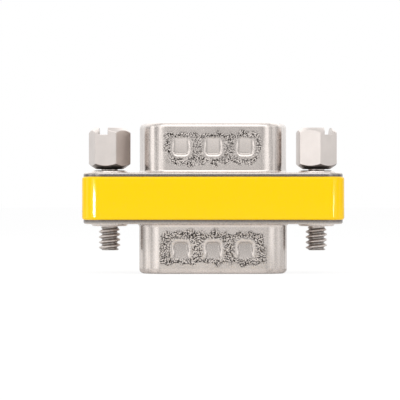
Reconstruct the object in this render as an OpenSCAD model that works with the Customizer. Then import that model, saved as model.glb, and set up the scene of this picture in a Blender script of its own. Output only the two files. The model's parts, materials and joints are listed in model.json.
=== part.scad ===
// Fifteen way D connector coupler with a male plug on each side.
// Z points up, X runs along the long side, and the printed side faces minus Y.
// The origin is the centre of the lower plug's rim, which is what the coupler stands on.

/* [Plug shell] */
// Width inside the D at its widest
shell_in_w = 16.92; // [16:0.01:17.6]
// Depth inside the D, from the wide side to the narrow side
shell_in_d = 8.36; // [8:0.01:8.8]
// Radius of the D's corners, inside
shell_corner_r = 2.6; // [2:0.1:3]
// Lean of the D's two short sides
shell_lean = 10; // [8:0.5:12]
// Height of the D above its flange
shell_h = 5.95; // [5.4:0.05:7]
// Thickness of the sheet in the D's wall
shell_wall = 0.42; // [0.3:0.02:0.5]
// Radius of the curl at the open rim, outside
rim_r = 0.6; // [0.52:0.02:0.8]
// Radius of the fillet between wall and flange
base_fillet = 0.35; // [0.2:0.05:0.5]

/* [Grip dimples] */
// Number of dimples on each long side
dimple_count = 3; // [1:1:3]
// Distance between dimple centres
dimple_pitch = 3.83; // [3.4:0.01:4]
// Width of a dimple
dimple_w = 1.7; // [1.3:0.1:2.2]
// Length of a dimple, from its deep end to where it runs out
dimple_len = 2.2; // [1.9:0.05:2.8]
// Depth at the deep end
dimple_depth = 0.3; // [0.2:0.02:0.36]
// Height of the deep end above the flange
dimple_base = 2.15; // [1.6:0.05:2.3]
// Corner radius of a dimple's deep end
dimple_r = 0.45; // [0.2:0.05:0.6]

/* [Flange] */
// Distance from the D's inside to a screw axis, sideways
screw_out = 4.035; // [3.9:0.005:4.4]
// How far the flange goes on past a screw axis
flange_end = 3.005; // [2.7:0.005:3.3]
// How far the flange goes past the D's inside, front and back
flange_side = 2.07; // [1.8:0.01:2.3]
// Corner radius of the flange
flange_corner_r = 2.4; // [1.5:0.1:3.5]
// Thickness of the flange
flange_t = 0.5; // [0.4:0.05:0.8]
// Radius along the flange's outer edge
flange_edge_r = 0.28; // [0.1:0.02:0.34]

/* [Band] */
// Height of the band between the two flanges
band_h = 5.17; // [4.8:0.01:7]
// How far the band stands out past the flange's ends
band_out_x = 0.15; // [0:0.05:0.6]
// How far the band stands out past the flange's long sides
band_out_y = 0.2; // [0:0.05:0.6]
// Corner radius of the band
band_corner_r = 1.8; // [1:0.1:3]
// Radius along the band's upper and lower edge
band_edge_r = 0.3; // [0.1:0.05:0.6]
// Space between the insulators' long sides and the band
pocket_gap = 0.17; // [0.1:0.01:0.3]

/* [Contacts] */
// Contacts in one row
row_count = 5; // [3:1:5]
// Distance between contacts in a row
contact_pitch = 2.29; // [2.2:0.01:2.4]
// Distance between rows
row_pitch = 1.98; // [1.8:0.01:2.1]
// Diameter of a contact
contact_d = 0.76; // [0.6:0.02:0.9]
// How far a contact's tip stays below the rim
contact_recess = 0.55; // [0.2:0.05:1.5]
// Diameter of the collar that keeps a contact from pulling out
collar_d = 1.16; // [1:0.02:1.3]
// Height of that collar
collar_h = 0.4; // [0.2:0.05:0.5]

/* [Insulators and board] */
// Height that the front insulator stands above the flange
face_h = 0.7; // [0.3:0.1:1.6]
// Width of the front insulator's ledge under the flange
ledge_out = 1; // [0.6:0.1:1.1]
// Thickness of the ledge
ledge_t = 1.2; // [0.8:0.05:1.4]
// Thickness of the circuit board
board_t = 1; // [0.6:0.1:1.6]
// Radius of the circuit board's corners
board_corner_r = 0.8; // [0.2:0.1:1.5]
// How far the board stands out past the insulators' ends
board_out_x = 0.2; // [0:0.1:0.4]
// How far the board stands in from the insulators' long sides
board_in_y = 0.25; // [0:0.05:0.5]

/* [Rivets] */
// Outside diameter of the tubular rivet
rivet_d = 3.4; // [3.2:0.1:3.6]
// Bore of the tubular rivet
rivet_bore = 2.3; // [2.2:0.02:2.5]
// Diameter of the rivet's rolled rim
rivet_rim_d = 4.4; // [4:0.1:4.8]
// Height of the rolled rim above the flange
rivet_rim_h = 0.28; // [0.2:0.02:0.4]

/* [Jackscrews] */
// Hexagon across its flats
hex_af = 4.5; // [4.3:0.05:4.8]
// Height of the hexagonal head
head_h = 5; // [4:0.1:6]
// Space between the head and the rivet's rim
head_gap = 0.15; // [0.1:0.05:0.5]
// Diameter of the flat under the head
head_foot_d = 3.3; // [3:0.1:4]
// Slope of the bevel under the head
foot_slope = 34; // [20:1:40]
// Diameter of the flat on top of the head
head_top_d = 3.7; // [3.4:0.1:4.2]
// Slope of the bevel round the top
top_slope = 40; // [25:1:50]
// Bore of the tapped hole in the head
tap_d = 2.3; // [2.1:0.02:2.5]
// Depth of the tapped hole
tap_depth = 4.2; // [3:0.1:4.4]
// Width of the screwdriver slot
slot_w = 1.05; // [0.8:0.05:1.3]
// Depth of the screwdriver slot
slot_depth = 0.85; // [0.5:0.05:1.2]
// Diameter of the neck between head and thread
neck_d = 2; // [1.8:0.02:2.1]
// Outside diameter of the thread
thread_d = 2.6; // [2.5:0.02:2.84]
// Length of the threaded end
thread_len = 2.75; // [2:0.05:4]
// Bevel at the tip of the thread
tip_bevel = 0.3; // [0.1:0.05:0.5]
// Turn of the left head, seen from above
left_turn = -11; // [-30:1:30]
// Turn of the left slot against its hexagon
left_slot_turn = 11; // [-30:0.5:30]
// How far the left slot was milled off the screw's axis
left_slot_off = -0.7; // [-1.3:0.05:1.3]
// Turn of the right head, seen from above
right_turn = -21; // [-30:1:30]
// Turn of the right slot against its hexagon
right_slot_turn = 27.5; // [-30:0.5:30]
// How far the right slot was milled off the screw's axis
right_slot_off = 1.2; // [-1.3:0.05:1.3]

/* [Clearances] */
// Slack round the rivet in the flanges and the band
rivet_slack = 0.05; // [0.02:0.01:0.1]
// Slack between insulator and shell, and round the board
fit_slack = 0.1; // [0.05:0.01:0.2]
// Slack round a contact in its insulators
contact_slack = 0.03; // [0.01:0.01:0.06]

/* [Hidden] */
$fn = 64;
over = 1;
// Rows of contacts, the middle one half a pitch aside
rows = 3;
// Steps of a corner of the D, and of an arc in its wall's section
corner_steps = 8;
arc_steps = 5;
// Sides of a punched rivet hole, whose flats clear the rivet
punch_steps = 32;
punch_r = (rivet_d / 2 + rivet_slack) / cos(180 / punch_steps);
// Sheet that stays with the drawn wall outside its fillet, where the flange node begins
skirt = 0.3;
// Sheet left beside and behind a dimple, and the bend inside the base, as shares of the wall
dimple_side = 0.6;
dimple_back = 0.9;
bend_share = 0.9;
contact_total = rows * row_count;
lower_face_z = shell_h;
upper_face_z = shell_h + 2 * flange_t + band_h;
mid_z = (lower_face_z + upper_face_z) / 2;
// Corner centres of the D, for its wide and its narrow side
d_corner_y = shell_in_d / 2 - shell_corner_r;
d_wide_x = shell_in_w / 2 - shell_corner_r;
d_narrow_x = d_wide_x - 2 * d_corner_y * tan(shell_lean);
// Distance between the two screw axes, 24.99 on every plug of this size
screw_spacing = shell_in_w + 2 * screw_out;
flange_w = screw_spacing + 2 * flange_end;
flange_d = shell_in_d + 2 * flange_side;
band_w = flange_w + 2 * band_out_x;
band_d = flange_d + 2 * band_out_y;
// Depths below the outer face of a flange, in one plug's own frame
flange_back = -flange_t;
ledge_back = flange_back - ledge_t;
board_top = -(flange_t + (band_h - board_t) / 2);
contact_tip = shell_h - contact_recess;
insulator_w = shell_in_w + 2 * ledge_out;
insulator_d = shell_in_d + 2 * ledge_out;
board_w = insulator_w + 2 * board_out_x;
board_d = insulator_d - 2 * board_in_y;
pocket_w = board_w + 2 * fit_slack;
pocket_d = insulator_d + 2 * pocket_gap;
hex_r = hex_af / sqrt(3);
head_foot_z = upper_face_z + rivet_rim_h + head_gap;
head_top_z = head_foot_z + head_h;
thread_top_z = lower_face_z - rivet_rim_h - head_gap;
thread_end_z = thread_top_z - thread_len;

function contact_name(side, i) = str(side, "_contact_", i);
contact_ids = [for (i = [1 : contact_total]) i];

// A flat rectangle with round corners
module round_rect(w, d, r) {
    square([w - 2 * r, d], center = true);
    square([w, d - 2 * r], center = true);
    for (sx = [-1, 1], sy = [-1, 1])
        translate([sx * (w / 2 - r), sy * (d / 2 - r)]) circle(r);
}

// A quarter round, for the edge of a plate
module quarter_round(r) {
    intersection() {
        circle(r);
        square(r);
    }
}

// Carries a flat profile round a rectangle with round corners
module sweep_rect(w, d, r) {
    for (turn = [0, 180]) rotate([0, 0, turn]) {
        translate([w / 2, d / 2 - r, 0]) rotate([90, 0, 0])
            linear_extrude(d - 2 * r) children();
        translate([-w / 2 + r, d / 2, 0]) rotate([90, 0, 90])
            linear_extrude(w - 2 * r) children();
        translate([w / 2 - r, d / 2 - r, 0])
            rotate_extrude(angle = 90) translate([r, 0]) children();
        translate([-w / 2 + r, d / 2 - r, 0]) rotate([0, 0, 90])
            rotate_extrude(angle = 90) translate([r, 0]) children();
    }
}

// A plate with round corners and a rounded upper edge
module round_plate(w, d, t, r, edge) {
    linear_extrude(t) round_rect(w - 2 * edge, d - 2 * edge, r - edge);
    linear_extrude(t - edge) round_rect(w, d, r);
    translate([0, 0, t - edge])
        sweep_rect(w - 2 * edge, d - 2 * edge, r - edge) quarter_round(edge);
}

// Points of an arc, as a list of [x, y]
function arc(cx, cy, r, from, to, steps) =
    [for (k = [0 : to - from == 360 ? steps - 1 : steps]) let (a = from + (to - from) * k / steps)
        [cx + r * cos(a), cy + r * sin(a)]];

// One corner of the D as stations [x, y, angle of the outward normal] on the inside face
function d_corner(cx, cy, from, to) =
    [for (k = [0 : corner_steps]) let (a = from + (to - from) * k / corner_steps)
        [cx + shell_corner_r * cos(a), cy + shell_corner_r * sin(a), a]];

// The whole way round the D, the straight sides lying between one corner and the next
d_stations = concat(
    d_corner(d_narrow_x, -d_corner_y, -90, -shell_lean),
    d_corner(d_wide_x, d_corner_y, -shell_lean, 90),
    d_corner(-d_wide_x, d_corner_y, 90, 180 + shell_lean),
    d_corner(-d_narrow_x, -d_corner_y, 180 + shell_lean, 270));

// The D outline, grown outwards by out, with its wide side at plus Y
module d_outline(out) {
    polygon([for (d = d_stations) [d[0] + out * cos(d[2]), d[1] + out * sin(d[2])]]);
}

// Section of the drawn wall as [outwards from the inside face, height above the flange]
draw_r = min(flange_t, shell_wall) * bend_share;
curl_u = shell_wall - rim_r;
curl_v = shell_h - rim_r;
fillet_u = shell_wall + base_fillet;
skirt_u = fillet_u + skirt;
wall_section = concat(
    [[skirt_u, flange_back], [skirt_u, 0]],
    arc(fillet_u, base_fillet, base_fillet, 270, 180, arc_steps),
    arc(curl_u, curl_v, rim_r, 0, 90, arc_steps + 1),
    arc(curl_u, curl_v, rim_r - shell_wall, 90, 0, arc_steps),
    arc(draw_r, flange_back + draw_r, draw_r, 180, 270, arc_steps));

// Drawn wall of the shell: the section carried round the D as one closed skin
module drawn_wall() {
    n = len(wall_section);
    m = len(d_stations);
    points = [for (d = d_stations, p = wall_section)
        [d[0] + p[0] * cos(d[2]), d[1] + p[0] * sin(d[2]), p[1]]];
    faces = [for (i = [0 : m - 1], k = [0 : n - 1])
        let (j = (i + 1) % m, l = (k + 1) % n)
        [i * n + k, i * n + l, j * n + l, j * n + k]];
    polyhedron(points, faces);
}

// Outline of a dimple, its deep end at the bottom with round corners
module dimple_outline(grow) {
    w = dimple_w + 2 * grow;
    r = dimple_r + grow;
    translate([-w / 2 + r, -grow]) square([w - 2 * r, r]);
    translate([-w / 2, r - grow]) square([w, dimple_len + grow - r]);
    for (side = [-1, 1])
        translate([side * (w / 2 - r), r - grow]) circle(r);
}

// One slab of dimple outline, tilted along its ramp, with its inner face at the given depth
module dimple_slab(grow, depth, thick) {
    ramp = atan(dimple_depth / dimple_len);
    translate([0, depth, dimple_base]) rotate([ramp, 0, 0]) rotate([90, 0, 0])
        linear_extrude(thick) dimple_outline(grow);
}

// Places its children at each dimple, on the narrow side and on the wide side
module at_dimples() {
    face_y = shell_in_d / 2 + shell_wall;
    for (turn = [0, 180]) rotate([0, 0, turn])
        for (i = [0 : dimple_count - 1])
            translate([(i - (dimple_count - 1) / 2) * dimple_pitch, -face_y, 0]) children();
}

// Drawn steel shell with its dimples, the outer face of the flange at zero
module plug_shell() {
    color("lightgray") difference() {
        union() {
            drawn_wall();
            at_dimples() dimple_slab(
                dimple_side * shell_wall, dimple_depth + shell_wall, dimple_back * shell_wall);
        }
        at_dimples() dimple_slab(0, dimple_depth, over);
    }
}

// Flange of the same sheet, from the shell's skirt outwards
module plug_flange() {
    color("lightgray") translate([0, 0, flange_back]) difference() {
        round_plate(flange_w, flange_d, flange_t, flange_corner_r, flange_edge_r);
        translate([0, 0, -over]) linear_extrude(flange_t + 2 * over) {
            d_outline(skirt_u);
            for (side = [-1, 1])
                polygon(arc(side * screw_spacing / 2, 0, punch_r, 0, 360, punch_steps));
        }
    }
}

// Places its children at each contact of one plug, counted along the rows from the wide side
module at_contact(i) {
    row = floor((i - 1) / row_count);
    place = (i - 1) % row_count;
    shift = (row % 2 == 0 ? 1 : -1) * contact_pitch / 4;
    translate([
        (place - (row_count - 1) / 2) * contact_pitch + shift,
        ((rows - 1) / 2 - row) * row_pitch,
        0]) children();
}

// Moulded front insulator: a D face inside the shell and a ledge behind the flange
module front_insulator() {
    color("dimgray") difference() {
        union() {
            translate([0, 0, ledge_back]) linear_extrude(ledge_t) d_outline(ledge_out);
            translate([0, 0, flange_back]) linear_extrude(face_h - flange_back)
                d_outline(-fit_slack);
        }
        for (i = contact_ids) at_contact(i) translate([0, 0, ledge_back - over])
            cylinder(h = face_h - ledge_back + 2 * over, d = contact_d + 2 * contact_slack);
    }
}

// Moulded rear insulator, which holds the contacts' collars against the front one
module rear_insulator() {
    collar_room = collar_h + contact_slack;
    color("gray") difference() {
        translate([0, 0, board_top]) linear_extrude(ledge_back - board_top) d_outline(ledge_out);
        for (i = contact_ids) at_contact(i) {
            translate([0, 0, board_top - over])
                cylinder(h = ledge_back - board_top + 2 * over, d = contact_d + 2 * contact_slack);
            translate([0, 0, ledge_back - collar_room])
                cylinder(h = collar_room + over, d = collar_d + 2 * contact_slack);
        }
    }
}

// Turned contact with a round tip and a collar, its tail standing on the board
module contact() {
    r = contact_d / 2;
    color("gold") rotate_extrude() {
        translate([0, board_top]) square([r, contact_tip - r - board_top]);
        translate([0, ledge_back - collar_h]) square([collar_d / 2, collar_h]);
        translate([0, contact_tip - r]) quarter_round(r);
    }
}

// Band of glossy plastic between the flanges, open in the middle for the insulators
module band() {
    half = band_h / 2;
    color("gold") difference() {
        translate([0, 0, mid_z]) for (flip = [0, 180]) rotate([flip, 0, 0])
            round_plate(band_w, band_d, half, band_corner_r, band_edge_r);
        translate([0, 0, mid_z]) linear_extrude(band_h + 2 * over, center = true)
            round_rect(pocket_w, pocket_d, board_corner_r + fit_slack);
        for (side = [-1, 1]) translate([side * screw_spacing / 2, 0, mid_z])
            cylinder(h = band_h + 2 * over, d = rivet_d + 2 * rivet_slack, center = true);
    }
}

// Circuit board that joins the two rows of tails
module circuit_board() {
    color("darkgreen") translate([0, 0, mid_z]) linear_extrude(board_t, center = true)
        round_rect(board_w, board_d, board_corner_r);
}

// Tubular rivet through both flanges and the band, rolled over at both ends
module rivet() {
    r_in = rivet_bore / 2;
    r_rim = rivet_rim_d / 2;
    color("silver") rotate_extrude() {
        translate([r_in, lower_face_z - rivet_rim_h])
            square([(rivet_d - rivet_bore) / 2, upper_face_z - lower_face_z + 2 * rivet_rim_h]);
        translate([r_in, upper_face_z]) square([r_rim - rivet_rim_h - r_in, rivet_rim_h]);
        translate([r_rim - rivet_rim_h, upper_face_z]) quarter_round(rivet_rim_h);
        translate([r_in, lower_face_z - rivet_rim_h])
            square([r_rim - rivet_rim_h - r_in, rivet_rim_h]);
        translate([r_rim - rivet_rim_h, lower_face_z]) mirror([0, 1]) quarter_round(rivet_rim_h);
    }
}

// The turned form that bevels both ends of the hexagon
module head_bevel() {
    foot_r = head_foot_d / 2;
    top_r = head_top_d / 2;
    reach = hex_r + over;
    rotate_extrude() polygon([
        [0, 0],
        [foot_r, 0],
        [reach, (reach - foot_r) * tan(foot_slope)],
        [reach, head_h - (reach - top_r) * tan(top_slope)],
        [top_r, head_h],
        [0, head_h]]);
}

// Jackscrew: slotted and tapped hexagonal head, slim neck and threaded end
module jackscrew(slot_turn, slot_off) {
    tap_r = tap_d / 2;
    thread_r = thread_d / 2;
    color("silver") {
        difference() {
            translate([0, 0, head_foot_z]) intersection() {
                cylinder(h = head_h, r = hex_r, $fn = 6);
                head_bevel();
            }
            translate([0, 0, head_top_z - tap_depth]) cylinder(h = tap_depth + over, r = tap_r);
            rotate([0, 0, slot_turn])
                translate([slot_off - slot_w / 2, -hex_af, head_top_z - slot_depth])
                    cube([slot_w, 2 * hex_af, slot_depth + over]);
        }
        rotate_extrude() polygon([
            [0, thread_end_z],
            [thread_r - tip_bevel, thread_end_z],
            [thread_r, thread_end_z + tip_bevel],
            [thread_r, thread_top_z],
            [neck_d / 2, thread_top_z],
            [neck_d / 2, head_foot_z],
            [0, head_foot_z]]);
    }
}

// Stands one plug's part on the upper side of the coupler
module on_upper() {
    translate([0, 0, upper_face_z]) children();
}

// Turns one plug's part over, so that it hangs under the coupler
module on_lower() {
    translate([0, 0, lower_face_z]) rotate([180, 0, 0]) children();
}

// Moves a part to the left or the right screw axis
module at_screw(side) {
    translate([side * screw_spacing / 2, 0, 0]) children();
}

band();
circuit_board();
on_upper() plug_shell();  // upper_shell
on_lower() plug_shell();  // lower_shell
on_upper() plug_flange();  // upper_flange
on_lower() plug_flange();  // lower_flange
on_upper() front_insulator();  // upper_front_insulator
on_upper() rear_insulator();  // upper_rear_insulator
on_lower() front_insulator();  // lower_front_insulator
on_lower() rear_insulator();  // lower_rear_insulator
at_screw(-1) rivet();  // left_rivet
at_screw(1) rivet();  // right_rivet
at_screw(-1) rotate([0, 0, left_turn]) jackscrew(left_slot_turn, left_slot_off);  // left_jackscrew
at_screw(1) rotate([0, 0, right_turn]) jackscrew(right_slot_turn, right_slot_off);  // right_jackscrew
for (i = contact_ids) {
    on_upper() at_contact(i) contact();
    on_lower() at_contact(i) contact();
}
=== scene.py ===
"""Dresses the packed video coupler: drawn shells, jackscrews, band and studio."""

import json
import math

import bmesh
import bpy
import numpy as np
from bpy.props import FloatProperty, FloatVectorProperty, IntProperty, PointerProperty
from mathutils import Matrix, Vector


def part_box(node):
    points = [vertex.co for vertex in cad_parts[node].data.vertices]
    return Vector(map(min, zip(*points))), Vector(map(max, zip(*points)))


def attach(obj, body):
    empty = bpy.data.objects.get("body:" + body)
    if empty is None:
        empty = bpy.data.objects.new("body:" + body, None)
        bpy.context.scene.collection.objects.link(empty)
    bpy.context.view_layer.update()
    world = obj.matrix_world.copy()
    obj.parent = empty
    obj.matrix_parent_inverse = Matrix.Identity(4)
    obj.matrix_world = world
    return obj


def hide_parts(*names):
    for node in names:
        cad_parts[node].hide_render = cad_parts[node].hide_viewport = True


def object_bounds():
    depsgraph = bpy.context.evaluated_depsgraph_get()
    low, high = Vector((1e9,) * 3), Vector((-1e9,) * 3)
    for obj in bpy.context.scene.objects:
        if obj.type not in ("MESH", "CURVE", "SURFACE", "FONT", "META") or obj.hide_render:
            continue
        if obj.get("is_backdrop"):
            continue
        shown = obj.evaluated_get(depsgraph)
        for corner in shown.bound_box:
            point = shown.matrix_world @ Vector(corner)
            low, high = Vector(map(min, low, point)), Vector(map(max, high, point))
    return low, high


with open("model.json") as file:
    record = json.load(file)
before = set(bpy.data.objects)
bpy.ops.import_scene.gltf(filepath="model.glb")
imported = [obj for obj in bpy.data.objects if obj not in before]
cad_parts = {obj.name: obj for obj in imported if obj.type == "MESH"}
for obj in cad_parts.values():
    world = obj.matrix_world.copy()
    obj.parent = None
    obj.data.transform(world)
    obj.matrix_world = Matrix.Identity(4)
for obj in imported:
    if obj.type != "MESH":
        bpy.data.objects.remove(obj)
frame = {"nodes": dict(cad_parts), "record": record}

bl_info = {
    "name": "Video Coupler Finish",
    "version": (1, 0, 0),
    "blender": (4, 5, 0),
    "location": "View3D > Sidebar > Coupler",
    "description": "Drawn shells, threaded screws, a glossy band and a pale studio",
    "category": "Object",
}

MM = 0.001
BODY = "coupler"
WELD = 1e-7  # points closer than this become one
BEND_SHARE = 0.9  # of the sheet's thickness, for the bend behind the flange
CAD_LOW, CAD_HIGH = (tuple(corner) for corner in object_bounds())
BAND_LOW, BAND_HIGH = (tuple(corner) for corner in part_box("band"))


def size_prop(name, text, mm):
    """A length property, given in millimetres and kept in metres."""
    return FloatProperty(name=name, description=text, default=mm * MM, unit="LENGTH", precision=5)


def colour_prop(name, text, rgb):
    """A colour property in linear light."""
    return FloatVectorProperty(
        name=name, description=text, default=rgb, size=3, min=0, max=1, subtype="COLOR"
    )


class ShellSizes(bpy.types.PropertyGroup):
    """Sizes of one drawn plug shell and its flange."""

    in_width: size_prop("Inside width", "Width inside the D at its widest", 16.92)
    in_depth: size_prop("Inside depth", "Depth inside the D, wide side to narrow side", 8.36)
    corner: size_prop("Corner", "Radius of the D's corners, inside", 2.6)
    lean: FloatProperty(
        name="Lean",
        description="Lean of the D's short sides",
        default=math.radians(10),
        subtype="ANGLE",
    )
    height: size_prop("Height", "Height of the D above its flange", 5.95)
    wall: size_prop("Wall", "Thickness of the drawn sheet", 0.42)
    rim: size_prop("Rim", "Radius of the curl at the open rim", 0.6)
    fillet: size_prop("Base fillet", "Radius between wall and flange", 0.35)
    flange_width: size_prop("Flange width", "Length of the flange", 31)
    flange_depth: size_prop("Flange depth", "Depth of the flange", 12.5)
    flange_corner: size_prop("Flange corner", "Corner radius of the flange", 2.4)
    flange_thick: size_prop("Flange thickness", "Thickness of the flange", 0.5)
    flange_edge: size_prop("Flange edge", "Radius along the flange's outer edge", 0.28)
    hole: size_prop("Rivet hole", "Diameter of the hole for a rivet", 3.5)
    spacing: size_prop("Screw spacing", "Distance between the two screw axes", 24.99)
    # strength of the painted shade along the flange's edge, darkest in the crevice against the
    # band
    rim_soil: FloatProperty(
        name="Rim soil", description="Dullness of the flange's cut edge", default=0.75
    )
    rim_peel: FloatProperty(
        name="Rim peel", description="Coarseness of the flange's outer edge", default=0.15
    )
    border_peel: FloatProperty(
        name="Border peel", description="Coarseness of the sheet round its flat sides", default=1.0
    )
    middle_peel: FloatProperty(
        name="Middle peel", description="Coarseness of the sheet's flat sides", default=0.9
    )
    wide_peel: FloatProperty(
        name="Wide peel", description="How much coarser the wide side is", default=1.35
    )
    peel_border: size_prop("Peel border", "Width over which the sheet's coarseness fades", 1.1)


class DimpleSizes(bpy.types.PropertyGroup):
    """Sizes of the grip dimples in a shell's long sides."""

    count: IntProperty(name="Count", description="Dimples on each long side", default=3, min=1)
    pitch: size_prop("Pitch", "Distance between dimple centres", 3.83)
    width: size_prop("Width", "Width of a dimple", 1.7)
    length: size_prop("Length", "From the deep end to where it runs out", 2.2)
    depth: size_prop("Depth", "Depth at the deep end", 0.3)
    base: size_prop("Base", "Height of the deep end above the flange", 2.15)
    corner: size_prop("Corner", "Corner radius of the deep end", 0.45)
    bend: size_prop("Bend", "Width over which the sheet bends into the dimple", 0.45)
    rim: size_prop("Rim", "Width that the punch rubs smooth round the dimple", 0.5)
    swell: size_prop("Swell", "Height of the swelling round the dimple", 0.03)
    # strengths of the painted shade in the dimple's crease and on its floor
    crease: FloatProperty(name="Crease", description="Dark of the dimple's crease", default=0.6)
    floor_soil: FloatProperty(name="Floor", description="Dark of the dimple's floor", default=0.3)


class BandSizes(bpy.types.PropertyGroup):
    """Sizes of the plastic band between the flanges."""

    corner: size_prop("Corner", "Corner radius of the band", 1.8)
    edge: size_prop("Edge", "Radius along the upper and lower edge", 0.3)
    pocket_width: size_prop("Pocket width", "Width of the pocket for the insulators", 19.52)
    pocket_depth: size_prop("Pocket depth", "Depth of the pocket for the insulators", 10.7)
    pocket_corner: size_prop("Pocket corner", "Corner radius of the pocket", 0.9)


class ScrewSizes(bpy.types.PropertyGroup):
    """Sizes of a jackscrew's threaded end."""

    pitch: size_prop("Pitch", "Pitch of the thread", 0.635)
    major: size_prop("Major diameter", "Diameter over the crests", 2.6)
    minor: size_prop("Minor diameter", "Diameter at the roots", 1.86)
    neck: size_prop("Neck", "Diameter of the neck above the thread", 2)
    top: size_prop("Top", "Height at which the thread starts", 5.52)
    end: size_prop("End", "Height of the thread's tip", 2.77)
    bevel: size_prop("Tip bevel", "Bevel at the tip", 0.3)
    edge: size_prop("Edge", "Softness of the head's turned edges", 0.07)
    foot: size_prop("Foot", "Height at which the head starts", 12.55)
    # strength of the painted shade on the head's lower bevel and end
    under_soil: FloatProperty(
        name="Under soil", description="Dullness of the head's lower bevel", default=1.0
    )
    # strengths of the painted shade in the thread's roots and on its crests
    root_soil: FloatProperty(
        name="Root soil", description="Dullness of the thread's roots", default=0.65
    )
    crest_soil: FloatProperty(
        name="Crest soil", description="Dullness of the thread's crests", default=0.05
    )


class Finishes(bpy.types.PropertyGroup):
    """Colours of the coupler's materials."""

    band: colour_prop("Band", "Glossy yellow plastic", (0.98, 0.61, 0.0))
    nickel: colour_prop("Drawn nickel", "Bright plate on the drawn shells", (0.80, 0.735, 0.695))
    screw: colour_prop("Screw nickel", "Satin plate on the turned screws", (0.76, 0.70, 0.665))
    insulator: colour_prop("Insulator", "Moulded black plastic", (0.018, 0.018, 0.02))
    board: colour_prop("Board", "Green solder mask", (0.02, 0.13, 0.045))
    contact: colour_prop("Contact", "Thin gold plate", (0.88, 0.62, 0.24))


class Studio(bpy.types.PropertyGroup):
    """Camera, lamps and background."""

    distance: FloatProperty(
        name="Camera distance",
        description="From the lens to the coupler's middle plane",
        default=0.35,
        unit="LENGTH",
    )
    side: size_prop("Camera side", "Sideways place of the camera", -1.57)
    level: size_prop("Camera level", "Height of the camera", 8.83)
    lens: FloatProperty(name="Lens", description="Focal length in millimetres", default=260.5)
    backdrop: colour_prop("Backdrop", "Background and floor", (1.0, 1.0, 1.0))
    ambient: FloatProperty(name="Ambient", description="Level of the even light", default=0.68)
    box_watts: FloatProperty(name="Side lamps", description="Power of a side lamp", default=0.36)


# Meshes


def smooth(t):
    """Smooth step: three times t squared minus twice t cubed, t held between 0 and 1."""
    t = np.clip(t, 0, 1)
    return t * t * (3 - 2 * t)


def grid_faces(rows, columns, close_rows=False, close_columns=False):
    """Quads of a grid of rows by columns as a whole array of vertex numbers."""
    i = np.arange(rows if close_rows else rows - 1)
    j = np.arange(columns if close_columns else columns - 1)
    i, j = (a.ravel() for a in np.meshgrid(i, j, indexing="ij"))
    i2, j2 = (i + 1) % rows, (j + 1) % columns
    return np.stack(
        [i * columns + j, i2 * columns + j, i2 * columns + j2, i * columns + j2], axis=1
    )


def arc(cx, cy, radius, start, stop, steps):
    """Points of a circular arc: centre plus radius times cosine and sine of the angle."""
    a = np.radians(np.linspace(start, stop, steps + 1))
    return np.stack([cx + radius * np.cos(a), cy + radius * np.sin(a)], axis=1)


class Skin:
    """Gathers grids of points into one closed mesh."""

    def __init__(self):
        self.points, self.faces, self.count = [], [], 0
        # the second mark is painted shade, which darkens the colour where shade falls
        self.marks = {"peel": [], "soil": [], "streak": []}

    def add(self, grid, close_rows=False, close_columns=False, **marks):
        """Adds a grid. The marks are numbers or grids: peel is how coarse the surface is at each
        of its points, streak how much the die has scored it, and the shade mark how far painted
        shade darkens the colour there."""
        rows, columns = grid.shape[:2]
        self.faces.append(grid_faces(rows, columns, close_rows, close_columns) + self.count)
        self.points.append(grid.reshape(-1, 3))
        for key, kept in self.marks.items():
            kept.append(np.broadcast_to(marks.get(key, 0.0), (rows, columns)).ravel())
        self.count += rows * columns

    def fill(self, mesh_cage):
        """Puts the grids into a bmesh, joins the shared seams and turns the faces outwards."""
        mesh = bpy.data.meshes.new("skin")
        mesh.from_pydata(np.concatenate(self.points), [], np.concatenate(self.faces).tolist())
        for key, values in self.marks.items():
            mark = mesh.attributes.new(key, "FLOAT", "POINT")
            mark.data.foreach_set("value", np.concatenate(values).astype(np.float32))
        mesh.validate()
        mesh_cage.from_mesh(mesh)
        bpy.data.meshes.remove(mesh)
        bmesh.ops.remove_doubles(mesh_cage, verts=mesh_cage.verts, dist=WELD)
        bmesh.ops.dissolve_degenerate(mesh_cage, edges=mesh_cage.edges, dist=1e-8)
        bmesh.ops.recalc_face_normals(mesh_cage, faces=mesh_cage.faces)


def finish_mesh(name, mesh_cage, sharp=40):
    """Makes an object of the bmesh, smooth except at edges steeper than sharp degrees."""
    mesh = bpy.data.meshes.new(name)
    mesh_cage.to_mesh(mesh)
    mesh_cage.free()
    mesh.shade_smooth()
    mesh.set_sharp_from_angle(angle=math.radians(sharp))
    piece = bpy.data.objects.new(name, mesh)
    bpy.context.collection.objects.link(piece)
    return piece


def d_point(k, s):
    """Inside outline of the D, eight stretches long: corner, side, corner, and so on.
    On a corner the normal turns round a fixed centre, and on a side the centre moves to the
    next corner while the normal stays. The point is the centre plus radius times the normal."""
    half_y = s.in_depth / 2 - s.corner
    wide = s.in_width / 2 - s.corner
    narrow = wide - 2 * half_y * math.tan(s.lean)
    lean = math.degrees(s.lean)
    centre = np.array([[narrow, -half_y], [wide, half_y], [-wide, half_y], [-narrow, -half_y]])
    start = np.array([-90, -lean, 90, 180 + lean])
    stop = np.array([-lean, 90, 180 + lean, 270])
    stretch = np.floor(k).astype(int) % 8
    part = k - np.floor(k)
    corner = stretch // 2
    on_side = stretch % 2 == 1
    turn = np.where(on_side, 1.0, part)[:, None]
    move = np.where(on_side, part, 0.0)[:, None]
    middle = centre[corner] * (1 - move) + centre[(corner + 1) % 4] * move
    angle = np.radians(start[corner] * (1 - turn[:, 0]) + stop[corner] * turn[:, 0])
    normal = np.stack([np.cos(angle), np.sin(angle)], axis=1)
    return middle + s.corner * normal, normal


def box_hit(x, y, half_x, half_y):
    """Where the ray from the centre through (x, y) meets the rectangle of those half sizes."""
    reach = 1 / np.maximum(np.abs(x) / half_x, np.abs(y) / half_y)
    return np.stack([x * reach, y * reach], axis=1)


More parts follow.
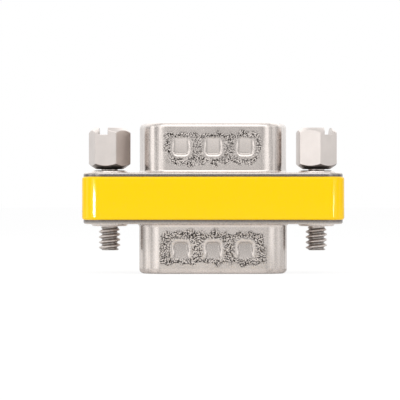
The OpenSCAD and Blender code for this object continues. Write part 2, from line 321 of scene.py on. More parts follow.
def dimple_depth(x, height, d):
    """Depth of the pressed dimples: a ramp that is deepest at the base and runs out upwards,
    times a soft mask of the rounded U outline, taken from the distance to that outline. The
    sheet swells a little round it. The second result is 1 where the punch has rubbed the sheet
    smooth, and the third is painted shade in the crease and on the floor."""
    place, rubbed, dark = (np.zeros_like(x * height) for _ in range(3))
    for i in range(d.count):
        off = np.abs(x - (i - (d.count - 1) / 2) * d.pitch)
        qx = off - (d.width / 2 - d.corner)
        qy = (d.base + d.corner) - height
        outside = np.hypot(np.maximum(qx, 0), np.maximum(qy, 0))
        away = outside + np.minimum(np.maximum(qx, qy), 0) - d.corner
        mask = smooth(0.5 - away / d.bend)
        ramp = np.clip((d.base + d.length - height) / d.length, 0, 1.1)
        swell = d.swell * np.exp(-(((away - 0.7 * d.rim) / (0.4 * d.rim)) ** 2))
        place += d.depth * mask * ramp - swell * smooth(3 * ramp)
        rubbed = np.maximum(rubbed, smooth(1.4 - away / d.rim) * smooth(5 * ramp))
        # painted shade along the crease and on the dimple's floor
        crease = np.exp(-(((away + 0.2 * d.bend) / (0.22 * d.bend)) ** 2)) * smooth(3 * ramp)
        dark = np.maximum(dark, np.maximum(d.crease * crease, d.floor_soil * mask * ramp))
    return place, rubbed, dark


def flat_peel(point, normal, section, s):
    """Coarseness of the drawn sheet: some on the long flat sides, where no die has rubbed it,
    most along their soft and wavy border, and none at the corners, the curl, the base and the
    inside."""
    x, z = point[:, :1] / MM, section[None, :, 1] / MM
    wave = np.sin(1.9 * x + 0.6) + np.sin(4.3 * x + 1.1 * z) + np.sin(3.7 * z + 0.5 * x)
    border = s.peel_border
    flat = s.in_width / 2 - s.corner - 2 * (s.in_depth / 2 - s.corner) * math.tan(s.lean)
    flat = np.where(normal[:, 1:] > 0, s.in_width / 2 - s.corner, flat)
    across = (flat - np.abs(point[:, :1])) / border + 0.5 * smooth((z - 1) / 4) + 0.35
    up = np.minimum(section[None, :, 1] - s.fillet, s.height - s.rim - section[None, :, 1])
    up = up / border - 0.3
    away = np.hypot(np.minimum(across - 1.2, 0), np.minimum(up - 1.2, 0))
    inside = smooth(1.2 - away + 0.12 * wave)
    side = (np.abs(normal[:, 1:]) > 0.98) * (section[None, :, 0] > s.wall / 2)
    side = side * np.where(normal[:, 1:] > 0, s.wide_peel, 1)
    return (s.border_peel * 4 * inside * (1 - inside) + s.middle_peel * inside) * side


def wall_section(s, rows):
    """Section of the drawn wall as outwards offset and height, from the flange's face over the
    fillet, up the outside, round the curl, down the inside and round the bend at the back."""
    bend = BEND_SHARE * min(s.flange_thick, s.wall)
    curl_u, curl_v = s.wall - s.rim, s.height - s.rim
    up = np.linspace(s.fillet, curl_v, rows)[1:-1]
    down = np.linspace(curl_v, -s.flange_thick + bend, rows)[1:-1]
    return np.concatenate(
        [
            arc(s.wall + s.fillet, s.fillet, s.fillet, 270, 180, 8),
            np.stack([np.full_like(up, s.wall), up], axis=1),
            arc(curl_u, curl_v, s.rim, 0, 90, 12),
            arc(curl_u, curl_v, s.rim - s.wall, 90, 0, 8),
            np.stack([np.zeros_like(down), down], axis=1),
            arc(bend, -s.flange_thick + bend, bend, 180, 270, 8),
        ]
    )


def drawn_shell(s, d):
    """One shell in its own frame, the flange's outer face at zero: the wall's section carried
    round the D, the flange's two faces as rays from the D and the rivet holes to a common
    outline, and the rounded edge carried round that outline."""
    skin = Skin()
    inset = s.flange_edge
    half_x, half_y = s.flange_width / 2 - inset, s.flange_depth / 2 - inset
    seam_x = (s.in_width / 2 + s.wall + s.fillet + s.spacing / 2 - s.hole / 2) / 2
    foot = s.wall + s.fillet
    bend = BEND_SHARE * min(s.flange_thick, s.wall)

    # Stations round the D, with extra ones whose rays meet the corners of the middle panel
    steps = (16, 10, 16, 150, 16, 10, 16, 136)
    k = np.concatenate([i + np.arange(n) / n for i, n in enumerate(steps)])
    fine = np.arange(0, 8, 0.0005)
    point, normal = d_point(fine, s)
    rim = point + foot * normal
    turn = np.unwrap(np.arctan2(rim[:, 1], rim[:, 0]))
    corners = np.arctan2([-half_y, half_y, half_y, -half_y], [seam_x, seam_x, -seam_x, -seam_x])
    corners = corners + 2 * np.pi * (corners < turn[0])
    k = np.unique(np.concatenate([k, np.interp(corners, turn, fine)]).round(9))
    point, normal = d_point(k, s)

    # Wall with its dimples pressed inwards, on the stretches of the two long sides
    section = wall_section(s, 74)
    long_side = np.isin(np.floor(k).astype(int) % 8, (3, 7))[:, None]
    pressed, rubbed, dark = dimple_depth(point[:, :1], section[None, :, 1], d)
    outside = np.arange(len(section))[None, :] < len(section) / 2
    peel = flat_peel(point, normal, section, s) * (1 - rubbed)
    # painted shade in the dimples' creases and floors, on the outside of the long sides
    soil = dark * long_side * outside
    streak = np.broadcast_to(smooth(np.abs(normal[:, :1]) / 0.3) * outside, soil.shape)
    offset = section[None, :, 0] - pressed * long_side
    wall = np.empty((len(k), len(section), 3))
    wall[..., :2] = point[:, None] + offset[..., None] * normal[:, None]
    wall[..., 2] = section[None, :, 1]
    skin.add(wall, close_rows=True, peel=peel, soil=soil, streak=streak)

    # Middle panel of the flange's outer and inner face
    rim = point + foot * normal
    reach = box_hit(rim[:, 0], rim[:, 1], seam_x, half_y)
    limit = np.array([seam_x, half_y])
    reach = np.where(np.abs(np.abs(reach) - limit) < 1e-6, np.sign(reach) * limit, reach)
    share = np.array([0, 0.03, 0.3, 0.7, 0.97, 1])[None, :, None]
    for inner, z in ((rim, 0.0), (point + bend * normal, -s.flange_thick)):
        panel = np.full((len(k), share.shape[1], 3), z)
        panel[..., :2] = inner[:, None] * (1 - share) + reach[:, None] * share
        skin.add(panel, close_rows=True)

    # End panels with their rivet holes
    r = s.flange_corner - inset
    outline = [reach[np.abs(np.abs(reach[:, 1]) - half_y) < 1e-9]]
    for side in (-1, 1):
        seam = reach[np.abs(reach[:, 0] - side * seam_x) < 1e-9]
        ends = np.concatenate([arc(half_x - r, half_y - r, r, 0, 90, 14), [[half_x, 0]]])
        run = np.linspace(seam_x, half_x - r, 12)[1:-1]
        ends = np.concatenate([ends, np.stack([run, np.full_like(run, half_y)], axis=1)])
        ends = np.concatenate([ends, ends * [1, -1]]) * [side, 1]
        loop = np.unique(np.concatenate([seam, ends]).round(10), axis=0)
        away = loop - [side * s.spacing / 2, 0]
        order = np.argsort(np.arctan2(away[:, 1], away[:, 0]))
        loop, away = loop[order], away[order]
        hole = loop - away + away / np.hypot(*away.T)[:, None] * s.hole / 2
        for z in (0.0, -s.flange_thick):
            panel = np.full((len(loop), share.shape[1], 3), z)
            panel[..., :2] = hole[:, None] * (1 - share) + loop[:, None] * share
            skin.add(panel, close_rows=True)
        pipe = np.empty((len(loop), 2, 3))
        pipe[..., :2] = hole[:, None]
        pipe[..., 2] = [0, -s.flange_thick]
        skin.add(pipe, close_rows=True)
        outline.append(ends)

    # Rounded edge, carried along the outline's own normals
    outline = np.unique(np.concatenate(outline).round(10), axis=0)
    core = np.clip(outline, [r - half_x, r - half_y], [half_x - r, half_y - r])
    away = outline - core
    away = away / np.hypot(*away.T)[:, None]
    order = np.argsort(np.arctan2(outline[:, 1] / half_y, outline[:, 0] / half_x))
    outline, away = outline[order], away[order]
    round_edge = arc(0, -inset, inset, 90, 0, 8)
    edge = np.concatenate([round_edge, [[inset, -s.flange_thick], [0, -s.flange_thick]]])
    strip = np.empty((len(outline), len(edge), 3))
    strip[..., :2] = outline[:, None] + edge[None, :, :1] * away[:, None]
    strip[..., 2] = edge[None, :, 1]
    # painted shade along the flange's rounded edge, full on the edge face that meets the band
    soil = smooth(-edge[:, 1] / s.flange_edge) * s.rim_soil
    soil[-2:] = 1
    skin.add(strip, close_rows=True, soil=soil, peel=s.rim_peel)
    return skin


def between(start, stop, steps):
    """Points evenly along a straight line, without the last."""
    share = np.linspace(0, 1, steps, endpoint=False)[:, None]
    return np.array(start) * (1 - share) + np.array(stop) * share


def all_quarters(quarter, start):
    """A quarter of a closed path carried round by mirroring it across X and Y, with every
    second quarter run backwards from its start point."""
    back = np.concatenate([start, quarter[:0:-1]])
    return np.concatenate([quarter, back * (-1, 1), quarter * (-1, -1), back * (1, -1)])


def plastic_band(b, spacing, hole_width):
    """The band as a closed ring: its section, with rounded outer edges, is carried from the
    outer outline over to the openings, along a path that runs round the rivet's hole, in to the
    pocket and round that. The pocket and the two holes then get their walls. A quarter of each
    outline is worked out, from the end of the band to its middle, and mirrored."""
    half_x, half_y = BAND_HIGH[0], BAND_HIGH[1]
    low, high = BAND_LOW[2], BAND_HIGH[2]
    pocket_x, pocket_y, turn = b.pocket_width / 2, b.pocket_depth / 2, b.pocket_corner
    hole_x, hole_r = spacing / 2, hole_width / 2
    around = arc(hole_x, 0, hole_r, 0, 180, 40)[:-1]
    bend = arc(pocket_x - turn, pocket_y - turn, turn, 0, 90, 8)[:-1]
    opening = [
        around,
        between((hole_x - hole_r, 0), (pocket_x, 0), 1),
        between((pocket_x, 0), (pocket_x, pocket_y - turn), 2),
        bend,
        between((pocket_x - turn, pocket_y), (0, pocket_y), 4),
    ]
    corner = arc(half_x - b.corner, half_y - b.corner, b.corner, 0, 90, 24)[:-1]
    slit_x, side_x = hole_x - hole_r - b.edge / 2, pocket_x + b.edge
    rim = [
        between((half_x, 0), (half_x, half_y - b.corner), 6),
        corner,
        between((half_x - b.corner, half_y), (slit_x, half_y), 10),
        between((slit_x, half_y), (side_x, half_y), 1),
        between((side_x, half_y), (pocket_x, half_y), 2),
        np.stack([bend[:, 0], np.full(len(bend), half_y)], axis=1),
        between((pocket_x - turn, half_y), (0, half_y), 4),
    ]
    inner = all_quarters(np.concatenate(opening), [[0, pocket_y]])
    outer = all_quarters(np.concatenate(rim), [[0, half_y]])
    inset = np.array([half_x, half_y]) - b.corner
    core = np.clip(outer, -inset, inset)
    normal = (outer - core) / np.hypot(*(outer - core).T)[:, None]
    flat = np.linspace(high - 1.1 * b.edge, low + 1.1 * b.edge, 5)
    edge = np.concatenate(
        [
            arc(-b.edge, high - b.edge, b.edge, 90, 0, 8),
            np.stack([np.zeros_like(flat), flat], axis=1),
            arc(-b.edge, low + b.edge, b.edge, 0, -90, 8),
        ]
    )
    ring = np.empty((len(outer), len(edge) + 2, 3))
    ring[:, 1:-1, :2] = outer[:, None] + edge[None, :, :1] * normal[:, None]
    ring[:, 1:-1, 2] = edge[None, :, 1]
    ring[:, 0, :2] = ring[:, -1, :2] = inner
    ring[:, 0, 2], ring[:, -1, 2] = high, low
    skin = Skin()
    skin.add(ring, close_rows=True)
    pocket = all_quarters(np.concatenate(opening[2:]), [[0, pocket_y]])
    hole = arc(hole_x, 0, hole_r, 0, 360, 80)[:-1]
    for loop in (pocket, hole, hole * (-1, 1)):
        wall = np.empty((len(loop), 2, 3))
        wall[..., :2] = loop[:, None]
        wall[..., 2] = (high, low)
        skin.add(wall, close_rows=True)
    return skin


def screw_thread(t, x):
    """Right-handed thread: the radius is a clipped triangle wave of height over pitch less the
    turn, held inside a bevel at the tip and a bevel below the neck."""
    rows_per_turn, points_round = 26, 96
    rows = int((t.top - t.end) / t.pitch * rows_per_turn)
    z = np.linspace(t.top, t.end, rows)[:, None]
    turn = np.linspace(0, 2 * np.pi, points_round + 1)[None, :-1]
    wave = (z - t.end) / t.pitch - turn / (2 * np.pi)
    wave = np.abs(2 * (wave - np.floor(wave)) - 1)
    major, minor = t.major / 2, t.minor / 2
    radius = minor + (major - minor) * smooth(np.clip(1.35 * wave - 0.2, 0, 1))
    radius = np.minimum(radius, major - t.bevel + (z - t.end))
    radius = np.minimum(radius, t.neck / 2 + 0.8 * (t.top - z))
    grid = np.empty((rows + 2, turn.shape[1], 3))
    grid[1:-1, :, 0] = x + radius * np.cos(turn)
    grid[1:-1, :, 1] = radius * np.sin(turn)
    grid[1:-1, :, 2] = z
    grid[0], grid[-1] = (x, 0, t.top), (x, 0, t.end)
    # painted shade, deepest in the thread's roots and least on the crests and the tip
    soil = np.full(grid.shape[:2], t.root_soil)
    soil[1:-1] -= (t.root_soil - t.crest_soil) * (radius - minor) / (major - minor)
    soil[-2:] = t.crest_soil
    skin = Skin()
    skin.add(grid, close_columns=True, soil=np.clip(soil, 0, 1))
    return skin


def paint_underside_shade(mesh, t):
    """Painted shade on the corners of the faces that look down below the head: its end and its
    bevel.
    """
    normals, centres = np.empty((2, len(mesh.polygons), 3))
    corners = np.empty(len(mesh.polygons), dtype=np.int32)
    mesh.polygons.foreach_get("normal", normals.reshape(-1))
    mesh.polygons.foreach_get("center", centres.reshape(-1))
    mesh.polygons.foreach_get("loop_total", corners)
    under = (normals[:, 2] < -0.2) & (centres[:, 2] > t.foot - t.edge)
    soil = mesh.attributes.new("soil", "FLOAT", "CORNER")
    soil.data.foreach_set("value", np.repeat(under * t.under_soil, corners).astype(np.float32))


# Materials

WORN, SHADE_AND_SCORE = 0.9, 0.22  # shares of a plate's colour where it is stained, and where it is scored and where painted shade darkens it


def add_node(tree, kind, **inputs):
    """A node with its inputs set by name, underscores standing for spaces."""
    node = tree.nodes.new(kind)
    for key, value in inputs.items():
        node.inputs[key.replace("_", " ")].default_value = value
    return node


def maths(tree, operation, first, second=None):
    """A Math node of that operation on sockets or numbers."""
    node = tree.nodes.new("ShaderNodeMath")
    node.operation = operation
    for slot, value in zip(node.inputs, (first, second)):
        if isinstance(value, bpy.types.NodeSocket):
            tree.links.new(value, slot)
        elif value is not None:
            slot.default_value = value
    return node.outputs[0]


def mix_colour(tree, factor, first, second):
    """A colour mix of two colours or sockets by a mask."""
    node = tree.nodes.new("ShaderNodeMix")
    node.data_type = "RGBA"
    tree.links.new(factor, node.inputs[0])
    for slot, value in ((node.inputs[6], first), (node.inputs[7], second)):
        if isinstance(value, bpy.types.NodeSocket):
            tree.links.new(value, slot)
        else:
            slot.default_value = (*value, 1)
    return node.outputs[2]


def range_of(tree, value, low, high, to_low, to_high):
    """Carries a value from one range to another, held at both ends."""
    node = tree.nodes.new("ShaderNodeMapRange")
    tree.links.new(value, node.inputs[0])
    for slot, number in zip(node.inputs[1:5], (low, high, to_low, to_high)):
        slot.default_value = number
    return node.outputs[0]


def start_group(name, inputs, outputs):
    """A shader node group with float inputs and outputs."""
    tree = bpy.data.node_groups.new(name, "ShaderNodeTree")
    for key, value in inputs.items():
        socket = tree.interface.new_socket(key, in_out="INPUT", socket_type="NodeSocketFloat")
        socket.default_value = value
    for key in outputs:
        tree.interface.new_socket(key, in_out="OUTPUT", socket_type="NodeSocketFloat")
    return tree, tree.nodes.new("NodeGroupInput"), tree.nodes.new("NodeGroupOutput")


def plate_grain_group():
    """Grain of plated metal: fine crystals, broad ripples, faint stains, and scores that run
    the way a sheet is drawn, along Z."""
    tree, given, result = start_group(
        "Plate Grain",
        {"Crystals": 4500.0, "Ripples": 420.0, "Stains": 160.0, "Scores": 1900.0},
        ("Height", "Speckle", "Cloud", "Score"),
    )
    place = tree.nodes.new("ShaderNodeTexCoord").outputs["Object"]
    crystals = add_node(tree, "ShaderNodeTexNoise", Detail=3.0, Roughness=0.7)
    ripples = add_node(tree, "ShaderNodeTexNoise", Detail=2.0, Roughness=0.5)
    stains = add_node(tree, "ShaderNodeTexNoise", Detail=4.0, Roughness=0.6)
    scores = add_node(tree, "ShaderNodeTexNoise", Detail=2.0, Roughness=0.6)
    drawn = tree.nodes.new("ShaderNodeVectorMath")
    drawn.operation = "MULTIPLY"
    drawn.inputs[1].default_value = (1, 1, 0.05)
    tree.links.new(place, drawn.inputs[0])
    for node, key, way in (
        (crystals, "Crystals", place),
        (ripples, "Ripples", place),
        (stains, "Stains", place),
        (scores, "Scores", drawn.outputs[0]),
    ):
        tree.links.new(way, node.inputs["Vector"])
        tree.links.new(given.outputs[key], node.inputs["Scale"])
    fine = maths(tree, "MULTIPLY", crystals.outputs[0], 0.35)
    height = maths(tree, "ADD", fine, ripples.outputs[0])
    tree.links.new(height, result.inputs["Height"])
    tree.links.new(range_of(tree, crystals.outputs[0], 0.35, 0.65, 0, 1), result.inputs["Speckle"])
    tree.links.new(range_of(tree, stains.outputs[0], 0.35, 0.7, 0, 1), result.inputs["Cloud"])
    tree.links.new(range_of(tree, scores.outputs[0], 0.45, 0.75, 0, 1), result.inputs["Score"])
    return tree


def moulded_skin_group():
    """Skin of moulded plastic: soft waves and fine dust-like points."""
    tree, given, result = start_group(
        "Moulded Skin", {"Waves": 220.0, "Points": 5200.0}, ("Height", "Dust")
    )
    place = tree.nodes.new("ShaderNodeTexCoord").outputs["Object"]
    waves = add_node(tree, "ShaderNodeTexNoise", Detail=1.0, Roughness=0.4)
    points = add_node(tree, "ShaderNodeTexNoise", Detail=2.0, Roughness=0.6)
    for node, key in ((waves, "Waves"), (points, "Points")):
        tree.links.new(place, node.inputs["Vector"])
        tree.links.new(given.outputs[key], node.inputs["Scale"])
    fine = maths(tree, "MULTIPLY", points.outputs[0], 0.04)
    tree.links.new(maths(tree, "ADD", waves.outputs[0], fine), result.inputs["Height"])
    tree.links.new(range_of(tree, points.outputs[0], 0.5, 0.8, 0, 1), result.inputs["Dust"])
    return tree


def new_material(name):
    """An empty material with its surface shader."""
    material = bpy.data.materials.new(name)
    material.use_nodes = True
    tree = material.node_tree
    return material, tree, tree.nodes["Principled BSDF"]


def place_group(tree, group, values):
    """The group in a material, with that material's own values."""
    node = tree.nodes.new("ShaderNodeGroup")
    node.node_tree = group
    for key, value in values.items():
        node.inputs[key].default_value = value
    return node


def mark(tree, name):
    """The value of a mark that a skin carries, zero on a piece without it."""
    node = tree.nodes.new("ShaderNodeAttribute")
    node.attribute_name = name
    return node.outputs["Fac"]


def bump(tree, height, strength, distance, shader):
    """Feeds a height to the shader's normal."""
    node = add_node(tree, "ShaderNodeBump", Strength=strength, Distance=distance)
    tree.links.new(height, node.inputs["Height"])
    tree.links.new(node.outputs[0], shader.inputs["Normal"])


def plated_material(name, group, colour, grain, rough, relief, peel=None):
    """Plated metal with grain in its gloss, its colour and its surface. Peel is the height of
    the crystals where the mesh's peel attribute is 1, and the colour of the pits between."""
    material, tree, shader = new_material(name)
    node = place_group(tree, group, grain)
    shader.inputs["Metallic"].default_value = 1.0
    worn = tuple(WORN * c for c in colour)
    tint = mix_colour(tree, node.outputs["Cloud"], colour, worn)
    shade_and_score = tuple(SHADE_AND_SCORE * c for c in colour)
    # painted shade: the shade mark darkens the colour towards the dark share
    tint = mix_colour(tree, mark(tree, "soil"), tint, shade_and_score)
    gloss = range_of(tree, node.outputs["Speckle"], 0, 1, *rough)
    tree.links.new(gloss, shader.inputs["Roughness"])
    height = node.outputs["Height"]
    if peel:
        coarse = mark(tree, "peel")
        scored = maths(tree, "MULTIPLY", node.outputs["Score"], mark(tree, "streak"))
        tint = mix_colour(tree, maths(tree, "MULTIPLY", scored, 0.5), tint, shade_and_score)
        crystals = maths(tree, "MULTIPLY", node.outputs["Speckle"], coarse)
        height = maths(tree, "ADD", height, maths(tree, "MULTIPLY", crystals, peel[0]))
        pits = range_of(tree, node.outputs["Speckle"], 0.6, 0.36, 0, 1)
        tint = mix_colour(tree, maths(tree, "MULTIPLY", pits, coarse), tint, peel[1])
    tree.links.new(tint, shader.inputs["Base Color"])
    bump(tree, height, *relief, shader)
    return material


def moulded_material(name, group, colour, skin, rough, relief, coat):
    """Moulded plastic or lacquer with a gentle waviness and a little dust."""
    material, tree, shader = new_material(name)
    node = place_group(tree, group, skin)
    pale = tuple(min(1, c * 0.96 + 0.012) for c in colour)
    tint = mix_colour(tree, node.outputs["Dust"], colour, pale)
    tree.links.new(tint, shader.inputs["Base Color"])
    gloss = range_of(tree, node.outputs["Dust"], 0, 1, *rough)
    tree.links.new(gloss, shader.inputs["Roughness"])
    shader.inputs["Coat Weight"].default_value = coat
    shader.inputs["Coat Roughness"].default_value = 0.03
    shader.inputs["Specular IOR Level"].default_value = 0.12
    bump(tree, node.outputs["Height"], *relief, shader)
    return material


def make_materials(finish):
    """Every finish of the coupler, by the name of its slot."""
    plate, skin = plate_grain_group(), moulded_skin_group()
    return {
        "shell_nickel": plated_material(
            "bright nickel on drawn sheet",
            plate,
            finish.nickel,
            {"Crystals": 7000.0, "Ripples": 600.0, "Stains": 200.0},
            (0.22, 0.3),
            (0.5, 0.00001),
            (3.6, (0.02, 0.016, 0.013)),
        ),
        "rivet_nickel": plated_material(
            "nickel on rivet tube",
            plate,
            finish.nickel,
            {"Ripples": 700.0},
            (0.2, 0.32),
            (0.2, 0.00002),
        ),
        "screw_nickel": plated_material(
            "satin nickel on turned screw",
            plate,
            finish.screw,
            {"Crystals": 6000.0, "Ripples": 600.0, "Stains": 300.0},
            (0.28, 0.34),
            (0.1, 0.00002),
        ),
        "band_plastic": moulded_material(
            "glossy yellow plastic",
            skin,
            finish.band,
            {"Waves": 260.0, "Points": 5200.0},
            (0.06, 0.1),
            (0.2, 0.00003),
            0.3,
        ),
        "insulator": moulded_material(
            "black moulded insulator",
            skin,
            finish.insulator,
            {"Waves": 300.0, "Points": 4200.0},
            (0.45, 0.6),
            (0.5, 0.00008),
            0.0,
        ),
        "board": moulded_material(
            "green board lacquer",
            skin,
            finish.board,
            {"Waves": 500.0, "Points": 3000.0},
            (0.3, 0.45),
            (0.3, 0.00004),
            0.3,
        ),
        "contact_gold": plated_material(
            "gold on turned contact",
            plate,
            finish.contact,
            {"Crystals": 5200.0, "Ripples": 1500.0},
            (0.14, 0.24),
            (0.12, 0.00001),
        ),
    }


MATERIAL_NAMES = {}


def dress(piece, slot_name):
    """Gives a new piece or a packed node the finish of that slot."""
    wanted = bpy.data.materials[MATERIAL_NAMES[slot_name]]
    piece.data.materials.clear()
    piece.data.materials.append(wanted)


# Operators


class COUPLER_OT_finishes(bpy.types.Operator):
    """Make the materials and put them on the packed nodes"""

    bl_idname = "coupler.finishes"
    bl_label = "Finishes"

    def execute(self, context):
        made = make_materials(context.scene.coupler_finishes)
        MATERIAL_NAMES.update({key: material.name for key, material in made.items()})
        slots = {part["node"]: part["material_slot"] for part in frame["record"]["subparts"]}
        for name, node in frame["nodes"].items():
            dress(node, slots[name])
        return {"FINISHED"}


class COUPLER_OT_shells(bpy.types.Operator):
    """Draw the two plug shells with their flanges and grip dimples"""

    bl_idname = "coupler.shells"
    bl_label = "Plug shells"

    def execute(self, context):
        sizes, dimples = context.scene.coupler_shell, context.scene.coupler_dimples
        for side, seat, flip in (
            ("upper", BAND_HIGH[2] + sizes.flange_thick, 1),
            ("lower", BAND_LOW[2] - sizes.flange_thick, -1),
        ):
            skin = drawn_shell(sizes, dimples)
            turn = np.array([1, flip, flip])
            skin.points = [p * turn + [0, 0, seat] for p in skin.points]
            cage = bmesh.new()
            skin.fill(cage)
            piece = finish_mesh(f"{side}_drawn_shell", cage, 50)
            dress(piece, "shell_nickel")
            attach(piece, BODY)
            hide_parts(f"{side}_shell", f"{side}_flange")
        return {"FINISHED"}


class COUPLER_OT_band(bpy.types.Operator):
    """Mould the glossy band between the flanges"""

    bl_idname = "coupler.band"
    bl_label = "Band"

    def execute(self, context):
        cage = bmesh.new()
        shell = context.scene.coupler_shell
        plastic_band(context.scene.coupler_band, shell.spacing, shell.hole).fill(cage)
        piece = finish_mesh("moulded_band", cage, 50)
        dress(piece, "band_plastic")
        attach(piece, BODY)
        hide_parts("band")
        return {"FINISHED"}


class COUPLER_OT_jackscrews(bpy.types.Operator):
    """Turn the jackscrews: soft-edged heads and cut threads"""

    bl_idname = "coupler.jackscrews"
    bl_label = "Jackscrews"

    def execute(self, context):
        sizes = context.scene.coupler_screw
        spacing = context.scene.coupler_shell.spacing
        for side, x in (("left", -spacing / 2), ("right", spacing / 2)):
            node = f"{side}_jackscrew"
            cage = bmesh.new()
            cage.from_mesh(frame["nodes"][node].data)
            bmesh.ops.remove_doubles(cage, verts=cage.verts, dist=WELD)
            below = [f for f in cage.faces if max(v.co.z for v in f.verts) < sizes.top + 1e-6]
            bmesh.ops.delete(cage, geom=below, context="FACES")
            bmesh.ops.holes_fill(cage, edges=cage.edges, sides=0)
            bmesh.ops.dissolve_limit(
                cage, angle_limit=math.radians(1), verts=cage.verts, edges=cage.edges
            )
            head = finish_mesh(f"{side}_turned_screw", cage, 30)
            paint_underside_shade(head.data, sizes)
            bevel = head.modifiers.new("soft edges", "BEVEL")
            bevel.width = sizes.edge
            bevel.segments = 2
            bevel.limit_method = "ANGLE"
            bevel.angle_limit = math.radians(24)
            bevel.harden_normals = True
            thread_cage = bmesh.new()
            screw_thread(sizes, x).fill(thread_cage)
            thread = finish_mesh(f"{side}_cut_thread", thread_cage, 60)
            for piece in (head, thread):
                dress(piece, "screw_nickel")
                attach(piece, f"{side}_screw")
                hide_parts(node)
        return {"FINISHED"}


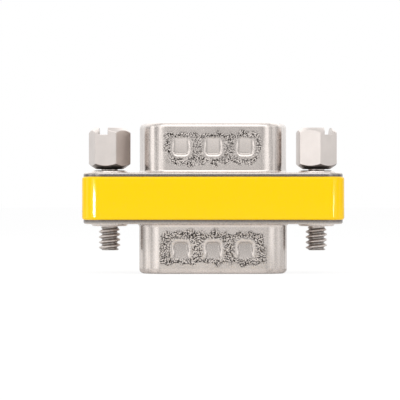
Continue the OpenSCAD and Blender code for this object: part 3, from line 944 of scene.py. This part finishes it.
class COUPLER_OT_studio(bpy.types.Operator):
    """Set up the pale floor, the lamps, the world and the camera"""

    bl_idname = "coupler.studio"
    bl_label = "Studio"

    def execute(self, context):
        scene, studio = context.scene, context.scene.coupler_studio
        self.camera(scene, studio)
        self.floor(studio)
        self.lamps(studio)
        self.world(scene, studio)
        scene.view_settings.view_transform = "Standard"
        return {"FINISHED"}

    def camera(self, scene, studio):
        """A long lens, level with the band, as the photograph was taken."""
        data = bpy.data.cameras.new("photograph")
        data.lens, data.sensor_width = studio.lens, 36
        data.clip_start, data.clip_end = 0.01, 20
        camera = bpy.data.objects.new("photograph", data)
        camera.location = (studio.side, -studio.distance, studio.level)
        camera.rotation_euler = (math.pi / 2, 0, 0)
        scene.collection.objects.link(camera)
        scene.camera = camera

    def floor(self, studio):
        """A floor that is the backdrop's colour to the camera and keeps a soft shadow. Seen
        from below it is clear."""
        grid = np.full((2, 2, 3), CAD_LOW[2])
        grid[..., 0] = [[-3, -3], [3, 3]]
        grid[..., 1] = [[-3, 3], [-3, 3]]
        skin = Skin()
        skin.add(grid)
        cage = bmesh.new()
        skin.fill(cage)
        floor = finish_mesh("pale_floor", cage)
        if floor.data.polygons[0].normal.z < 0:
            floor.data.flip_normals()
        material, tree, shader = new_material("pale floor")
        shader.inputs["Base Color"].default_value = (*(0.95 * c for c in studio.backdrop), 1)
        shader.inputs["Roughness"].default_value = 0.9
        shader.inputs["Specular IOR Level"].default_value = 0.1
        glow = add_node(tree, "ShaderNodeEmission", Color=(*studio.backdrop, 1), Strength=1.07)
        rays = tree.nodes.new("ShaderNodeLightPath")
        mirrored = maths(tree, "MULTIPLY", rays.outputs["Is Glossy Ray"], 0.12)
        seen = maths(tree, "MULTIPLY", rays.outputs["Is Camera Ray"], 0.8)
        seen = maths(tree, "ADD", seen, mirrored)
        mix = tree.nodes.new("ShaderNodeMixShader")
        tree.links.new(seen, mix.inputs[0])
        tree.links.new(shader.outputs[0], mix.inputs[1])
        tree.links.new(glow.outputs[0], mix.inputs[2])
        under = tree.nodes.new("ShaderNodeNewGeometry").outputs["Backfacing"]
        clear = tree.nodes.new("ShaderNodeBsdfTransparent")
        sided = tree.nodes.new("ShaderNodeMixShader")
        tree.links.new(under, sided.inputs[0])
        tree.links.new(mix.outputs[0], sided.inputs[1])
        tree.links.new(clear.outputs[0], sided.inputs[2])
        tree.links.new(sided.outputs[0], tree.nodes["Material Output"].inputs["Surface"])
        floor.data.materials.append(material)
        floor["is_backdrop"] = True

    def lamps(self, studio):
        """Softboxes for everything, and two strips whose glints lie on the band alone."""
        glint = bpy.data.collections.new("lit by the strips")
        glint.objects.link(bpy.data.objects["moulded_band"])
        for name, place, size, watts in (
            ("left_softbox", (-0.22, -0.29, 0.03), (0.12, 0.36), 0.46 * studio.box_watts),
            ("right_softbox", (0.26, -0.25, 0.03), (0.13, 0.36), 0.4 * studio.box_watts),
            ("right_panel", (0.36, -0.04, 0.03), (0.12, 0.36), 0.24 * studio.box_watts),
            ("left_panel", (-0.36, -0.06, 0.03), (0.16, 0.36), 0.58 * studio.box_watts),
            ("left_strip", (-0.13, -0.33, 0.008), (0.11, 0.006), 0.44 * studio.box_watts),
            ("right_strip", (0.2, -0.3, 0.008), (0.05, 0.006), 0.05 * studio.box_watts),
            ("top_softbox", (0.0, -0.2, 0.32), (0.5, 0.25), 1.2 * studio.box_watts),
        ):
            data = bpy.data.lights.new(name, "AREA")
            data.shape = "RECTANGLE"
            data.size, data.size_y = size
            data.energy = watts
            lamp = bpy.data.objects.new(name, data)
            lamp.location = place
            aim = np.array([0, 0, CAD_HIGH[2] / 2]) - place
            flat = math.hypot(aim[0], aim[1])
            lamp.rotation_euler = (
                math.atan2(flat, -aim[2]),
                0,
                math.atan2(aim[1], aim[0]) - math.pi / 2,
            )
            bpy.context.collection.objects.link(lamp)
            if name.endswith("strip"):
                lamp.light_linking.receiver_collection = glint

    def world(self, scene, studio):
        """Even light, white to the camera. What metal sees is dimmer on the camera's side."""
        world = scene.world or bpy.data.worlds.new("studio")
        scene.world = world
        world.use_nodes = True
        tree = world.node_tree
        tree.nodes.clear()
        rays = tree.nodes.new("ShaderNodeLightPath")
        way = tree.nodes.new("ShaderNodeTexCoord")
        axes = tree.nodes.new("ShaderNodeSeparateXYZ")
        tree.links.new(way.outputs["Generated"], axes.inputs[0])
        front = range_of(tree, axes.outputs["Y"], -1.0, -0.2, 0.42, 0.22)
        behind = range_of(tree, axes.outputs["Y"], 0.15, 0.75, 0.0, 0.75)
        behind = maths(tree, "ADD", front, behind)
        above = range_of(tree, axes.outputs["Z"], 0.05, 0.5, 0.0, 0.6)
        behind = maths(tree, "ADD", behind, above)
        plain = add_node(
            tree, "ShaderNodeBackground", Color=(*studio.backdrop, 1), Strength=studio.ambient
        )
        metal = add_node(tree, "ShaderNodeBackground", Color=(*studio.backdrop, 1))
        tree.links.new(behind, metal.inputs["Strength"])
        white = add_node(tree, "ShaderNodeBackground", Color=(*studio.backdrop, 1), Strength=1.0)
        glossy = tree.nodes.new("ShaderNodeMixShader")
        tree.links.new(rays.outputs["Is Glossy Ray"], glossy.inputs[0])
        tree.links.new(plain.outputs[0], glossy.inputs[1])
        tree.links.new(metal.outputs[0], glossy.inputs[2])
        seen = tree.nodes.new("ShaderNodeMixShader")
        tree.links.new(rays.outputs["Is Camera Ray"], seen.inputs[0])
        tree.links.new(glossy.outputs[0], seen.inputs[1])
        tree.links.new(white.outputs[0], seen.inputs[2])
        end = tree.nodes.new("ShaderNodeOutputWorld")
        tree.links.new(seen.outputs[0], end.inputs["Surface"])


class COUPLER_PT_panel(bpy.types.Panel):
    """Buttons and sizes for the coupler's finish"""

    bl_idname = "COUPLER_PT_panel"
    bl_label = "Video Coupler"
    bl_space_type = "VIEW_3D"
    bl_region_type = "UI"
    bl_category = "Coupler"

    def draw(self, context):
        layout = self.layout
        for name, holder in HOLDERS.items():
            box = layout.box()
            box.label(text=holder.__doc__)
            group = getattr(context.scene, name)
            for key in holder.__annotations__:
                box.prop(group, key)
        for operator in OPERATORS:
            layout.operator(operator.bl_idname)


HOLDERS = {
    "coupler_shell": ShellSizes,
    "coupler_dimples": DimpleSizes,
    "coupler_band": BandSizes,
    "coupler_screw": ScrewSizes,
    "coupler_finishes": Finishes,
    "coupler_studio": Studio,
}
OPERATORS = (
    COUPLER_OT_finishes,
    COUPLER_OT_shells,
    COUPLER_OT_band,
    COUPLER_OT_jackscrews,
    COUPLER_OT_studio,
)


def register():
    for holder in HOLDERS.values():
        bpy.utils.register_class(holder)
    for name, holder in HOLDERS.items():
        setattr(bpy.types.Scene, name, PointerProperty(type=holder))
    for operator in OPERATORS:
        bpy.utils.register_class(operator)
    bpy.utils.register_class(COUPLER_PT_panel)


def unregister():
    bpy.utils.unregister_class(COUPLER_PT_panel)
    for operator in reversed(OPERATORS):
        bpy.utils.unregister_class(operator)
    for name in HOLDERS:
        delattr(bpy.types.Scene, name)
    for holder in reversed(list(HOLDERS.values())):
        bpy.utils.unregister_class(holder)


def main():
    """Makes every piece in order."""
    register()
    bpy.ops.coupler.finishes()
    bpy.ops.coupler.shells()
    bpy.ops.coupler.band()
    bpy.ops.coupler.jackscrews()
    bpy.ops.coupler.studio()


if __name__ == "__main__":
    main()
